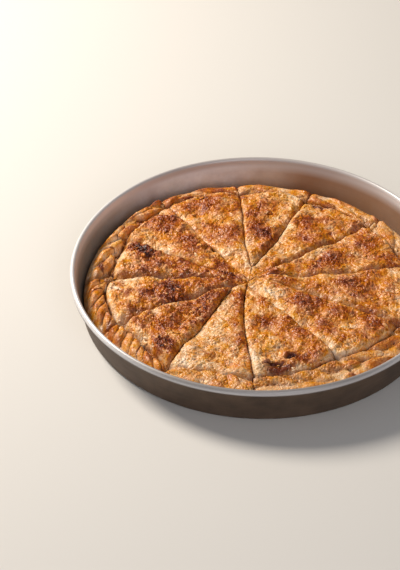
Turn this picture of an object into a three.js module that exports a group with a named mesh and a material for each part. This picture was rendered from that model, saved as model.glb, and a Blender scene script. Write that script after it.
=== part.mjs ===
// Eggplant borek in its round tray: an aluminium tray with a rolled rim, and the pie baked in it,
// cut into twelve wedges that still lie together in the shape of the whole pie.
// Millimetres, +Z up. The origin is the centre of the tray's flat base, at the level it stands on.
// Angles are in degrees, counterclockwise from +X as seen from above.
import * as THREE from "three";

const radians = (degrees) => (degrees * Math.PI) / 180;
const direction = (degrees) =>
  new THREE.Vector2(Math.cos(radians(degrees)), Math.sin(radians(degrees)));

// ---- Tray -------------------------------------------------------------------------------------
const tray = {
  rimRadius: 190, // outside of the rolled rim
  height: 46,
  flatRadius: 174, // flat part of the base
  cornerRadius: 5, // outside bend between base and wall
  sheet: 1.2, // thickness of the metal
  beadHalfWidth: 2.7, // the rolled rim is an upright oval in section
  beadHalfHeight: 4,
  beadStart: 235, // where the wall's outside runs into the oval
  beadEnd: 540, // and where the oval runs into the wall's inside, one turn on from 180
  beadSteps: 9,
  bendSteps: 2,
  segments: 64,
};

// ---- Pie --------------------------------------------------------------------------------------
const pie = {
  floorGap: 0.3, // between the tray's base and the dough
  meanRadius: 173.5, // outline, measured from the tray's axis
  shrink: { amount: 4, towards: 75 }, // the dough has drawn back from the wall on this side
  oval: { amount: 3, along: 165 }, // and is a little wider along this direction
  crustTop: 29.5, // mean height of the baked top
  hubDip: 2, // the wedge tips lie this much lower
  hubRadius: 34,
  kerf: 1, // width of a knife cut
  narrowestTip: 0.9, // a wedge is blunt at its tip
  cutShoulder: { width: 7, drop: 4, fullAtSpan: 30 }, // the top rounds down into each cut
};

// The side of the pie, from its lowest visible line down into the bend of the tray.
const side = [
  { z: 12, inset: 0 },
  { z: 7, inset: 1.6 },
  { z: tray.sheet + pie.floorGap, inset: 8 },
];

// The edge is a roll of folded dough round the pie, with a groove inside it.
const edge = {
  meanWidth: 25,
  widerBy: 3.5,
  widestAt: 215,
  rollTop: 25.5,
  grooveZ: 21.5,
  shoulder: 11, // the top crust rounds down to the groove over this distance
};

// Broad rises of the crust over the filling: a wave's height, length, direction and start.
const waves = [
  { height: 0.9, length: 61, direction: 20, start: 0.4 },
  { height: 0.8, length: 47, direction: 95, start: 2.1 },
  { height: 0.6, length: 38, direction: 150, start: 4.0 },
];

// Cuts run from the hub to the outline. Some meet before the hub, at a join, and share the way from
// there. `to` is the bearing of a cut's outer end from the hub, `bow` how far it bulges to the left
// as seen from the hub, and `sway` how far it first bulges to the left and then to the right.
const hub = new THREE.Vector2(-10, -2);
const fromHub = (degrees, away) => direction(degrees).multiplyScalar(away).add(hub);
const joins = {
  east: fromHub(33, 9),
  fork: fromHub(83, 19),
  west: fromHub(213, 22),
  south: fromHub(245, 6.5),
};
const cuts = [
  { to: 7.2, join: "east", bow: -3.0, sway: -1.8 },
  { to: 36.5, join: "east", bow: -1.5, sway: 1.2 },
  { to: 65.0, join: "fork", bow: -2.0, sway: -0.8 },
  { to: 93.5, join: "fork", bow: 0.8, sway: 1.2 },
  { to: 124.4, bow: 0, sway: 0 },
  { to: 151.2, bow: 2.5, sway: 0.5 },
  { to: 178.9, bow: -2.2, sway: 0 },
  { to: 208.0, join: "west", bow: -5.0, sway: 0 },
  { to: 238.2, join: "west", bow: 1.2, sway: 1.0 },
  { to: 270.8, join: "south", bow: -5.0, sway: -1.6 },
  { to: 305.6, join: "south", bow: 1.5, sway: 0 },
  { to: 335.5, join: "east", bow: -0.8, sway: 1.5 },
];

// How the edge is folded on each wedge, which lies between the cut of the same place in the list
// and the next one. Pitch is the length of a fold along the edge, lean how far it slants across it.
const folds = [
  { pitch: 30, lean: 0.9, height: 2.6 },
  { pitch: 34, lean: 0.8, height: 2.2 },
  { pitch: 40, lean: 0.6, height: 1.8 },
  { pitch: 42, lean: 0.5, height: 1.6 },
  { pitch: 34, lean: 0.7, height: 2.4 },
  { pitch: 27, lean: 1.0, height: 3.2 },
  { pitch: 26, lean: 1.1, height: 3.2 },
  { pitch: 19, lean: 1.5, height: 4.2 },
  { pitch: 24, lean: 1.3, height: 3.4 },
  { pitch: 30, lean: 0.9, height: 2.8 },
  { pitch: 36, lean: 0.8, height: 2.8 },
  { pitch: 30, lean: 1.0, height: 2.8 },
];

// Where a wedge's top has its rows of points. Rows on the crust are shares of the way from the
// shoulder above the groove to the tip, rows on the shoulder are shares of its width, and rows on
// the roll are shares of the roll's width.
const rows = {
  crust: [1, 0.93, 0.82, 0.68, 0.54, 0.4, 0.26, 0.12],
  shoulder: [1, 0.5, 0.12],
  roll: [1, 0.84, 0.66, 0.48, 0.3, 0.14, 0.04, 0],
  footClearance: 2, // the foot of a cut face keeps this far inside the foot of the side
  joinClearance: 4, // rows of the crust keep this far from the row at a join
};
const crustColumns = [0, 0.07, 0.15, 0.28, 0.42, 0.58, 0.72, 0.85, 0.93, 1];
const rollSteps = 18; // the folds of the roll need more columns than the crust
const rollColumns = Array.from({ length: rollSteps + 1 }, (_, i) => i / rollSteps);

const clamp01 = (x) => Math.min(1, Math.max(0, x));
const smooth = (x) => clamp01(x) ** 2 * (3 - 2 * clamp01(x));
const rounded = (x) => Math.sqrt(1 - (1 - clamp01(x)) ** 2); // quarter-round from 0 to 1

// ---- Tray: one turned section --------------------------------------------------------------
function makeTray() {
  const beadR = tray.rimRadius - tray.beadHalfWidth;
  const beadZ = tray.height - tray.beadHalfHeight;
  const section = [new THREE.Vector2(0, 0), new THREE.Vector2(tray.flatRadius, 0)];
  const bend = (radius, degrees) => {
    const out = direction(degrees).multiplyScalar(radius);
    return out.add(new THREE.Vector2(tray.flatRadius, tray.cornerRadius));
  };
  for (let i = 1; i <= tray.bendSteps; i++) {
    section.push(bend(tray.cornerRadius, -90 + (90 * i) / tray.bendSteps));
  }
  for (let i = 0; i <= tray.beadSteps; i++) {
    const a = tray.beadStart + ((tray.beadEnd - tray.beadStart) * i) / tray.beadSteps;
    const oval = direction(a).multiply(
      new THREE.Vector2(tray.beadHalfWidth, tray.beadHalfHeight),
    );
    section.push(oval.add(new THREE.Vector2(beadR, beadZ)));
  }
  for (let i = 0; i <= tray.bendSteps; i++) {
    section.push(bend(tray.cornerRadius - tray.sheet, (-90 * i) / tray.bendSteps));
  }
  section.push(new THREE.Vector2(0, tray.sheet));
  return new THREE.LatheGeometry(section, tray.segments).rotateX(Math.PI / 2);
}

// ---- Plan of the pie -----------------------------------------------------------------------
function outlineRadius(degrees) {
  const { shrink, oval } = pie;
  return (
    pie.meanRadius -
    shrink.amount * Math.cos(radians(degrees - shrink.towards)) +
    oval.amount * Math.cos(radians(2 * (degrees - oval.along)))
  );
}

const bearing = (p) => (Math.atan2(p.y, p.x) * 180) / Math.PI;
const outlinePoint = (degrees, inset = 0) =>
  direction(degrees).multiplyScalar(outlineRadius(degrees) - inset);
const edgeWidth = (degrees) =>
  edge.meanWidth + edge.widerBy * Math.cos(radians(degrees - edge.widestAt));

// The point of the outline that a straight line from a start point reaches.
function outlineHit(start, degrees) {
  let near = 0;
  let far = 2 * pie.meanRadius;
  for (let i = 0; i < 40; i++) {
    const middle = (near + far) / 2;
    const p = direction(degrees).multiplyScalar(middle).add(start);
    if (p.length() < outlineRadius(bearing(p))) near = middle;
    else far = middle;
  }
  return direction(degrees).multiplyScalar(near).add(start);
}

// One side of a wedge: the cut's line, moved half a kerf into the wedge. It gives the point at a
// share of the way back from the outline. The wedge is on the left of its first cut, seen from
// the hub, and on the right of its second. The cut's leg from the hub to its join is left out
// where the wedge starts at the join.
function cutSide(cut, onLeft, fromJoin) {
  const start = cut.join ? joins[cut.join] : hub;
  const end = outlineHit(hub, cut.to);
  const along = end.clone().sub(start);
  const legs = cut.join && !fromJoin ? [hub, start, end] : [start, end];
  const lengths = legs.slice(1).map((p, i) => p.distanceTo(legs[i]));
  const total = lengths.reduce((a, b) => a + b, 0);
  const last = lengths[lengths.length - 1];
  const across = new THREE.Vector2(-along.y, along.x).normalize();
  const shift = (onLeft ? 1 : -1) * (pie.kerf / 2);
  return {
    total,
    joinShare: last / total,
    at(share) {
      const back = share * total;
      const onLastLeg = back <= last;
      const way = onLastLeg ? 1 - back / last : 1 - (back - last) / lengths[0];
      const [a, b] = onLastLeg ? legs.slice(-2) : legs;
      const bend = cut.bow * Math.sin(Math.PI * way) + cut.sway * Math.sin(2 * Math.PI * way);
      return a.clone().lerp(b, way).addScaledVector(across, (onLastLeg ? bend : 0) + shift);
    },
  };
}

// ---- Height of the baked top ---------------------------------------------------------------
function crustHeight(p) {
  const dip = pie.hubDip * (1 - smooth(p.distanceTo(hub) / pie.hubRadius));
  const swell = waves.reduce((sum, w) => {
    const phase = (2 * Math.PI * p.dot(direction(w.direction))) / w.length + w.start;
    return sum + w.height * Math.sin(phase);
  }, 0);
  return pie.crustTop - dip + swell;
}

function rollHeight(share, along, fold) {
  const outer = share < 0.5;
  const foot = outer ? side[0].z : edge.grooveZ;
  const arch = outer ? rounded(share / 0.5) : Math.cos(Math.PI * (share - 0.5)) ** 0.7;
  const ridge = Math.abs(Math.sin(Math.PI * (along / fold.pitch + fold.lean * share))) ** 0.8;
  const fade = Math.sin(Math.PI * share) ** 0.7;
  return foot + (edge.rollTop - foot) * clamp01(arch) + fold.height * (ridge - 0.5) * fade;
}

function topHeight(p, toCut, span, along, fold) {
  const degrees = bearing(p);
  const inward = outlineRadius(degrees) - p.length();
  const width = edgeWidth(degrees);
  const { cutShoulder } = pie;
  const fullDrop = cutShoulder.drop * smooth(span / cutShoulder.fullAtSpan);
  const drop = fullDrop * (1 - rounded(toCut / cutShoulder.width));
  if (inward < width) {
    const share = clamp01(inward / width);
    return rollHeight(share, along, fold) - drop * Math.sin(Math.PI * share) * 0.6;
  }
  const rise = rounded((inward - width) / edge.shoulder);
  return edge.grooveZ + (crustHeight(p) - edge.grooveZ) * rise - drop * rise;
}

// ---- One wedge -----------------------------------------------------------------------------
function makeWedge(first, second, fold) {
  const fromJoin = Boolean(first.join && first.join === second.join);
  const sides = [cutSide(first, true, fromJoin), cutSide(second, false, fromJoin)];
  const ends = sides.map((s) => s.at(0));
  const firstBearing = bearing(ends[0]);
  const length = (sides[0].total + sides[1].total) / 2;
  const spanAt = (back) => sides[0].at(back / length).distanceTo(sides[1].at(back / length));
  let tip = length;
  while (spanAt(tip) < pie.narrowestTip || tip > length - pie.kerf) tip -= 0.1;

  // The point a distance back from the outline, at a share of the way from the first cut to the
  // second. The rows bulge to follow the outline, less and less towards the tip.
  const plan = (back, u) => {
    const straight = sides[0].at(back / length).lerp(sides[1].at(back / length), u);
    const chord = ends[0].clone().lerp(ends[1], u);
    const bulge = outlinePoint(bearing(chord)).sub(chord);
    return straight.addScaledVector(bulge, 1 - back / tip);
  };
  const topPoint = (back, u) => {
    const p = plan(back, u);
    const span = spanAt(back);
    const turned = radians(bearing(p) - firstBearing);
    const along = ((turned + 2 * Math.PI) % (2 * Math.PI)) * p.length();
    const toCut = Math.min(u, 1 - u) * span;
    const z = back === 0 ? side[0].z : topHeight(p, toCut, span, along, fold);
    return new THREE.Vector3(p.x, p.y, z);
  };
  const sidePoint = ({ z, inset }, u) => {
    const p = plan(0, u);
    p.setLength(p.length() - inset);
    return new THREE.Vector3(p.x, p.y, z);
  };

  const width = edgeWidth(bearing(ends[0].clone().lerp(ends[1], 0.5)));
  const crustEnd = width + edge.shoulder;
  const joinBacks = sides.map((s) => s.joinShare * length).filter((back) => tip - back > 1);
  const clearOfJoins = (back) =>
    back === tip || joinBacks.every((join) => Math.abs(back - join) > rows.joinClearance);
  const crustBacks = [
    ...rows.crust.map((k) => crustEnd + (tip - crustEnd) * k).filter(clearOfJoins),
    ...joinBacks,
    ...rows.shoulder.map((k) => width + edge.shoulder * k),
  ].sort((a, b) => b - a);
  const rollBacks = rows.roll.map((k) => width * k);
  const grid = [
    ...crustBacks.map((back) => crustColumns.map((u) => topPoint(back, u))),
    ...rollBacks.map((back) => rollColumns.map((u) => topPoint(back, u))),
    ...side.slice(1).map((s) => crustColumns.map((u) => sidePoint(s, u))),
  ];
  const floor = side[side.length - 1];
  const heel = floor.inset + rows.footClearance;
  const footBacks = [...crustBacks, ...rollBacks].filter((back) => back > heel);
  const foot = (u) =>
    footBacks.map((back) => {
      const p = plan(back, u);
      return new THREE.Vector3(p.x, p.y, floor.z);
    });

  // Faces between two lines of points that run side by side.
  const positions = [];
  const face = (...corners) => corners.forEach((c) => positions.push(...c.toArray()));
  const strip = (a, b) => {
    let i = 0;
    let j = 0;
    while (i + 1 < a.length || j + 1 < b.length) {
      const aLeft = i + 1 < a.length;
      const bLeft = j + 1 < b.length;
      if (aLeft && (!bLeft || a[i + 1].distanceTo(b[j]) < a[i].distanceTo(b[j + 1]))) {
        face(a[i], b[j], a[i + 1]);
        i += 1;
      } else {
        face(a[i], b[j], b[j + 1]);
        j += 1;
      }
    }
  };
  const outerRow = grid[grid.length - 1];
  const feet = [foot(0), foot(1)];
  const heels = feet.map((f) => f[f.length - 1]);
  for (let j = 0; j + 1 < grid.length; j++) strip(grid[j], grid[j + 1]);
  strip(grid.map((row) => row[0]), feet[0]);
  strip(feet[1], grid.map((row) => row[row.length - 1]));
  strip([feet[0][0], feet[1][0]], grid[0]);
  strip(feet[0], feet[1]);
  strip(outerRow, heels);
  return new THREE.BufferGeometry().setAttribute(
    "position",
    new THREE.Float32BufferAttribute(positions, 3),
  );
}

// ---- Assembly ------------------------------------------------------------------------------
const borek = new THREE.Group();

const trayMesh = new THREE.Mesh(
  makeTray(),
  new THREE.MeshStandardMaterial({ color: 0xa59a90, roughness: 0.42, metalness: 1 }),
);
trayMesh.name = "tray";
borek.add(trayMesh);

cuts.forEach((cut, i) => {
  const wedge = new THREE.Mesh(
    makeWedge(cut, cuts[(i + 1) % cuts.length], folds[i]),
    new THREE.MeshStandardMaterial({ color: 0xc98a45, roughness: 0.55, metalness: 0 }),
  );
  wedge.name = `wedge_${String(i + 1).padStart(2, "0")}`;
  wedge.geometry.computeVertexNormals();
  borek.add(wedge);
});

export default borek;
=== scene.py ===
import math

import bpy
import numpy as np
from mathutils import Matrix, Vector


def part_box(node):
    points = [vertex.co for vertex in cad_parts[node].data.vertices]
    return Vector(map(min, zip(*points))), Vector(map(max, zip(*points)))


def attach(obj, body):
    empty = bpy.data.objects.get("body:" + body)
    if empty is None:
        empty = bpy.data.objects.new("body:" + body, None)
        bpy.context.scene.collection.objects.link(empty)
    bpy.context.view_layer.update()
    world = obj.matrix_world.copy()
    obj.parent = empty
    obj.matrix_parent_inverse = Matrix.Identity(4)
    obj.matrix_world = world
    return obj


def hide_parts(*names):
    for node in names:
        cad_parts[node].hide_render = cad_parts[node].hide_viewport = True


# A round eggplant borek in its aluminium tray, cut into twelve wedges. Sizes are in millimetres
# unless a note says otherwise, and angles are in degrees, counterclockwise from +X as seen from
# above. The last number that noise, cells and the patterns made of them take is their seed.
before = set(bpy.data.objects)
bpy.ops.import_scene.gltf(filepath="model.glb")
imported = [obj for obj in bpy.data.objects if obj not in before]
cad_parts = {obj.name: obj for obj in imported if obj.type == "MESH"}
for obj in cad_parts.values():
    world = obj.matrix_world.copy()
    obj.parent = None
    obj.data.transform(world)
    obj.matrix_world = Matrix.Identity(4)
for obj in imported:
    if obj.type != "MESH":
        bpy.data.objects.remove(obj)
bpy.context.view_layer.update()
mm = 0.001
print("frame loaded:", len(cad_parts), "nodes")


def linear(code):
    # an sRGB hex colour as the linear one that Blender's sockets take
    channels = [int(code[i:i + 2], 16) / 255 for i in (1, 3, 5)]
    return [c / 12.92 if c <= 0.04045 else ((c + 0.055) / 1.055) ** 2.4 for c in channels] + [1.0]


def addNode(tree, kind, inputs=None, **settings):
    # a node with its settings, where an input is a value or the socket that it is linked to. Inputs
    # that share a name go by number: a Mix node's 2 and 3 are its values, and 6 and 7 its colours.
    node = tree.nodes.new(kind)
    for name, value in settings.items():
        setattr(node, name, value)
    for name, value in (inputs or {}).items():
        if isinstance(value, bpy.types.NodeSocket):
            tree.links.new(value, node.inputs[name])
        else:
            node.inputs[name].default_value = value
    return node


def radians(degrees):
    return np.radians(degrees)


def heading(degrees):
    # the way that these degrees point, 1 long
    return np.stack([np.cos(radians(degrees)), np.sin(radians(degrees))], axis=-1)


def bearing(points):
    return np.degrees(np.arctan2(points[..., 1], points[..., 0]))


def smooth(x):
    # an even step from 0 to 1
    x = np.clip(x, 0, 1)
    return x * x * (3 - 2 * x)


def rounded(x):
    # a quarter-round from 0 to 1
    return np.sqrt(1 - (1 - np.clip(x, 0, 1)) ** 2)


def mixed(a, b, share):
    return a + (b - a) * share


def chance(ix, iy, seed):
    # a random number from 0 to 1 that belongs to a whole-numbered place
    n = ix.astype(np.int64) * 374761393 + iy.astype(np.int64) * 668265263 + seed * 1442695041
    n = n & 0xffffffff
    n = ((n ^ (n >> 13)) * 1274126177) & 0xffffffff
    return ((n ^ (n >> 16)) & 0xffffff) / 0xffffff


def noise(x, y, size, seed):
    # gradient noise from about -1 to 1, with swells about `size` across
    gx, gy = x / size, y / size
    ix, iy = np.floor(gx), np.floor(gy)
    fx, fy = gx - ix, gy - iy

    def slope(ox, oy):
        turn = 2 * np.pi * chance(ix + ox, iy + oy, seed)
        return np.cos(turn) * (fx - ox) + np.sin(turn) * (fy - oy)

    wx = fx ** 3 * (fx * (fx * 6 - 15) + 10)
    wy = fy ** 3 * (fy * (fy * 6 - 15) + 10)
    low = mixed(slope(0, 0), slope(1, 0), wx)
    high = mixed(slope(0, 1), slope(1, 1), wx)
    return 1.5 * mixed(low, high, wy)


def fractal(x, y, size, octaves, seed):
    # noise with finer and weaker noise on it
    return sum(noise(x, y, size / 2 ** i, seed + i) / 2 ** i for i in range(octaves)) / 1.6


def cells(x, y, size, seed):
    # for flakes and blobs: how far the nearest and the second nearest scattered point are, the way
    # from the nearest one, and two random numbers of its own
    x = x + 0.4 * size * noise(x, y, size * 0.9, seed + 7)
    y = y + 0.4 * size * noise(x, y, size * 0.9, seed + 8)
    gx, gy = x / size, y / size
    ix, iy = np.floor(gx), np.floor(gy)
    near = np.full(x.shape, 9.0)
    second = near.copy()
    wayX, wayY, first, other = (np.zeros(x.shape) for _ in range(4))
    for ox in (-1, 0, 1):
        for oy in (-1, 0, 1):
            cx, cy = ix + ox, iy + oy
            px = gx - (cx + 0.1 + 0.8 * chance(cx, cy, seed))
            py = gy - (cy + 0.1 + 0.8 * chance(cx, cy, seed + 1))
            away = np.hypot(px, py)
            closer = away < near
            second = np.where(closer, near, np.minimum(second, away))
            near = np.where(closer, away, near)
            wayX = np.where(closer, px, wayX)
            wayY = np.where(closer, py, wayY)
            first = np.where(closer, chance(cx, cy, seed + 2), first)
            other = np.where(closer, chance(cx, cy, seed + 3), other)
    return near, second, wayX, wayY, first, other


def makeMesh(name, points, triangles, attributes=None, sharpAbove=None):
    # a smoothly shaded piece from points in metres, with a number for each point in an attribute
    mesh = bpy.data.meshes.new(name)
    points = np.asarray(points, dtype=np.float32)
    triangles = np.asarray(triangles, dtype=np.int32)
    mesh.vertices.add(len(points))
    mesh.vertices.foreach_set("co", points.ravel())
    mesh.loops.add(triangles.size)
    mesh.loops.foreach_set("vertex_index", triangles.ravel())
    mesh.polygons.add(len(triangles))
    mesh.polygons.foreach_set("loop_start", np.arange(0, triangles.size, 3, dtype=np.int32))
    mesh.update(calc_edges=True)
    mesh.validate()
    mesh.shade_smooth()
    if sharpAbove:
        mesh.set_sharp_from_angle(angle=radians(sharpAbove))
    for key, values in (attributes or {}).items():
        layer = mesh.attributes.new(key, "FLOAT", "POINT")
        layer.data.foreach_set("value", np.asarray(values, dtype=np.float32))
    piece = bpy.data.objects.new(name, mesh)
    bpy.context.scene.collection.objects.link(piece)
    return piece


def strip(a, b):
    # triangles between two rows of points that run side by side
    triangles = []
    i = j = 0
    lastA, lastB = len(a) - 1, len(b) - 1
    while i < lastA or j < lastB:
        if j == lastB or (i < lastA and (i + 1) * lastB <= (j + 1) * lastA):
            triangles.append((a[i], b[j], a[i + 1]))
            i += 1
        else:
            triangles.append((a[i], b[j], b[j + 1]))
            j += 1
    return triangles


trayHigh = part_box("tray")[1]

# The tray, as wide and as high as the frame's.
tray = {
    "rimRadius": trayHigh[0] / mm,
    "height": trayHigh[2] / mm,
    "flatRadius": 174,  # of the flat bottom, where its bend begins
    "cornerRadius": 5,
    "sheet": 1.2,  # thickness of the aluminium
    "beadHalfWidth": 2.7,  # the rolled rim, an oval in section
    "beadHalfHeight": 4,
    "beadStart": 235,  # where the oval leaves the outer wall
    "beadEnd": 540,  # and where it meets the inner wall
    "flatRings": (0.2, 0.97, 6),  # first and last on the bottom, as shares of its radius, and count
    "beadSteps": 30,
    "bendSteps": 8,
    "wallSteps": 12,
    "segments": 288,
    "wobble": 0.25,  # how far the wall strays from a true circle
    "wobbleLength": 3.1 / 6,  # of one such stray, as a share of the rim's radius
    "sharpAbove": 50,  # bends sharper than this are shaded as edges
}


def traySection():
    # the tray's section, from the middle of its underside over the rim to the middle inside
    beadR = tray["rimRadius"] - tray["beadHalfWidth"]
    beadZ = tray["height"] - tray["beadHalfHeight"]
    corner = np.array([tray["flatRadius"], tray["cornerRadius"]])
    bend = np.linspace(-90, 0, tray["bendSteps"] + 1)
    oval = np.linspace(tray["beadStart"], tray["beadEnd"], tray["beadSteps"] + 1)
    flat = np.linspace(*tray["flatRings"])[:, None] * [tray["flatRadius"], 0]
    outside = corner + tray["cornerRadius"] * heading(bend)
    bead = [beadR, beadZ] + heading(oval) * [tray["beadHalfWidth"], tray["beadHalfHeight"]]
    inside = corner + (tray["cornerRadius"] - tray["sheet"]) * heading(bend[::-1])
    share = np.linspace(0, 1, tray["wallSteps"] + 1)[1:-1, None]
    outerWall = mixed(outside[-1], bead[0], share)
    innerWall = mixed(bead[-1], inside[0], share)
    top = flat[::-1] + [0, tray["sheet"]]
    return np.concatenate([flat, outside, outerWall, bead, innerWall, inside, top])


def makeTray():
    # one section, turned, as the tray is spun from sheet
    section = traySection()
    count, turns = len(section), tray["segments"]
    angles = np.arange(turns) * 2 * np.pi / turns
    along = np.concatenate([[0], np.cumsum(np.hypot(*np.diff(section, axis=0).T))])
    r = section[None, :, 0]
    z = section[None, :, 1]
    onWall = smooth((z - 4) / 12) * smooth((tray["height"] - z) / 10)  # not on the bottom or the rim
    sway = noise(np.cos(angles), np.sin(angles), tray["wobbleLength"], 40)[:, None]
    r = r + tray["wobble"] * onWall * sway
    ring = np.stack([r * np.cos(angles)[:, None], r * np.sin(angles)[:, None],
                     np.broadcast_to(z, (turns, count))], axis=-1).reshape(-1, 3)
    points = np.concatenate([ring, [[0, 0, 0], [0, 0, tray["sheet"]]]])
    under, over = len(ring), len(ring) + 1  # the middle of the bottom, below and above
    triangles = []
    for k in range(turns):
        here, there = k * count, (k + 1) % turns * count
        for i in range(count - 1):
            triangles.append((here + i, there + i, there + i + 1))
            triangles.append((here + i, there + i + 1, here + i + 1))
        triangles.append((under, there, here))
        triangles.append((over, here + count - 1, there + count - 1))
    alongAll = np.concatenate([np.tile(along, turns), [0, along[-1]]])
    return makeMesh("tray_spun", points * mm, triangles, {"along": alongAll}, tray["sharpAbove"])


pie = {
    "floor": 1.5,  # level of the dough's underside
    "meanRadius": 173.5,
    "shrink": (4, 75),  # the dough has drawn back from the wall by this much towards this side
    "oval": (3, 165),  # and is this much wider along this direction
    "crustTop": 29.5,  # mean level of the crust
    "hubDip": 2.2,  # how much lower it is where the cuts cross
    "hubRadius": 34,  # and how far around that
    "gap": 0.22,  # between the knife's line and the dough on each side of it
    "closedGap": 0.2,  # the share of the gap that is left where a cut has closed up
    "ragged": (0.4, 7),  # how far a cut's sides are torn, and over what length
    "tornHub": 0.75,  # how much wider the gap is on each side where the cuts cross
    "wander": (1.3, 24),  # how far the knife strayed from its line, and over what length
    "closedLift": 3,  # a closed cut's flanks start as if this far from the cut
    "narrowestTip": 0.9,  # a wedge's point ends at this width
    "fullDropSpan": 22,  # narrower than this, a wedge rounds down less to its cuts
    "lip": 0.8,  # how far the corner of the crust rounds down into a cut
    "pit": 3.4,  # how much deeper it is where a cut meets the edge
    "rollEnd": 2.8,  # how far the folded edge rounds down into a cut
    "spacing": 0.5,  # of the points on the surface
    "wallLevels": 7,  # rows of points down a cut face
    "heel": 10,  # the cut faces end this far from the outside, whose side and foot close them
    "cutTone": 0.16,  # how brown the cut faces are
}

edge = {
    "rollTop": 25.5,  # level of the folded edge's top
    "raised": (3.0, 85),  # it stands this much higher towards this side
    "sideZ": 12,  # level at which it is widest
    "sideInset": 8,  # how far its side draws in from there to the tray's bend
    "sideSteps": 12,
    "sideWrinkles": (0.4, 9),  # height and width of the wrinkles in its side
    "unevenWidth": (1.6, 24),  # how far its width strays, and over what length
    "unevenShoulder": (0.25, 15),  # the same of the crust's shoulder, as a share of its width
    "overGroove": 1.15,  # how far the strands reach, as a share of the edge's width
    "uneven": (0.4, 0.12, 0.4, 0.35, 0.35, 0.3),  # strands: place, reach, length, width, turn, height
    "middleRow": 0.53,  # the strands' place across the edge
    "doughTone": 0.34,  # how brown the side is
    # How much browner than its tone each kind of unevenness makes the edge, and the patches' width.
    "browner": {"ridges": 0.18, "strands": 0.16, "grain": 0.10, "patches": 0.22, "lumps": 0.08},
    "patchSize": 14,
    # How far the strands are bent along the edge and over it, and how high the lumps and blisters on
    # them stand, each with its width and its seed.
    "bentAlong": [(1.3, 15, 51), (0.5, 5, 53)],
    "bentOver": [(1.2, 12, 52), (0.5, 5, 54)],
    "lumps": [(0.8, 13, 57), (0.3, 1.5, 61)],
    "blisters": [(0.6, 6, 58), (0.7, 2.8, 59)],
    "lumpyFrom": 4.5,  # lower strands are smoother
    "firstSeed": 700,
}

# Broad rises of the crust over the filling: height, length, direction and start of each wave.
waves = [(0.9, 61, 20, 0.4), (0.8, 47, 95, 2.1), (0.6, 38, 150, 4.0)]

hub = np.array([-10.0, -2.0])

# Where cuts meet before they reach the hub: bearing and distance from the hub.
joins = {"hub": (0, 0), "east": (33, 9), "fork": (83, 19), "west": (213, 22), "south": (245, 6.5)}

# Each cut's join, the bearing of its outer end from the hub, how far it bulges to the left as seen
# from the hub, and how far it sways to the left and then to the right. Some have closed up again
# between two distances from the hub.
cuts = [
    {"join": "east", "to": 7.2, "bow": -3.0, "sway": -1.8},
    {"join": "east", "to": 36.5, "bow": -1.5, "sway": 1.2, "closed": (12, 30)},
    {"join": "fork", "to": 65.0, "bow": -2.0, "sway": -0.8, "closed": (0, 20)},
    {"join": "fork", "to": 93.5, "bow": 0.8, "sway": 1.2, "closed": (0, 20)},
    {"join": "hub", "to": 124.4, "bow": 0.0, "sway": 0.0},
    {"join": "hub", "to": 151.2, "bow": 2.5, "sway": 0.5, "closed": (11, 24)},
    {"join": "hub", "to": 178.9, "bow": -2.2, "sway": 0.0, "closed": (11, 26)},
    {"join": "west", "to": 208.0, "bow": -5.0, "sway": 0.0},
    {"join": "west", "to": 238.2, "bow": 1.2, "sway": 1.0},
    {"join": "south", "to": 270.8, "bow": -5.0, "sway": -1.6},
    {"join": "south", "to": 305.6, "bow": 1.5, "sway": 0.0},
    {"join": "east", "to": 335.5, "bow": -0.8, "sway": 1.5, "closed": (9, 24)},
]

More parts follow.
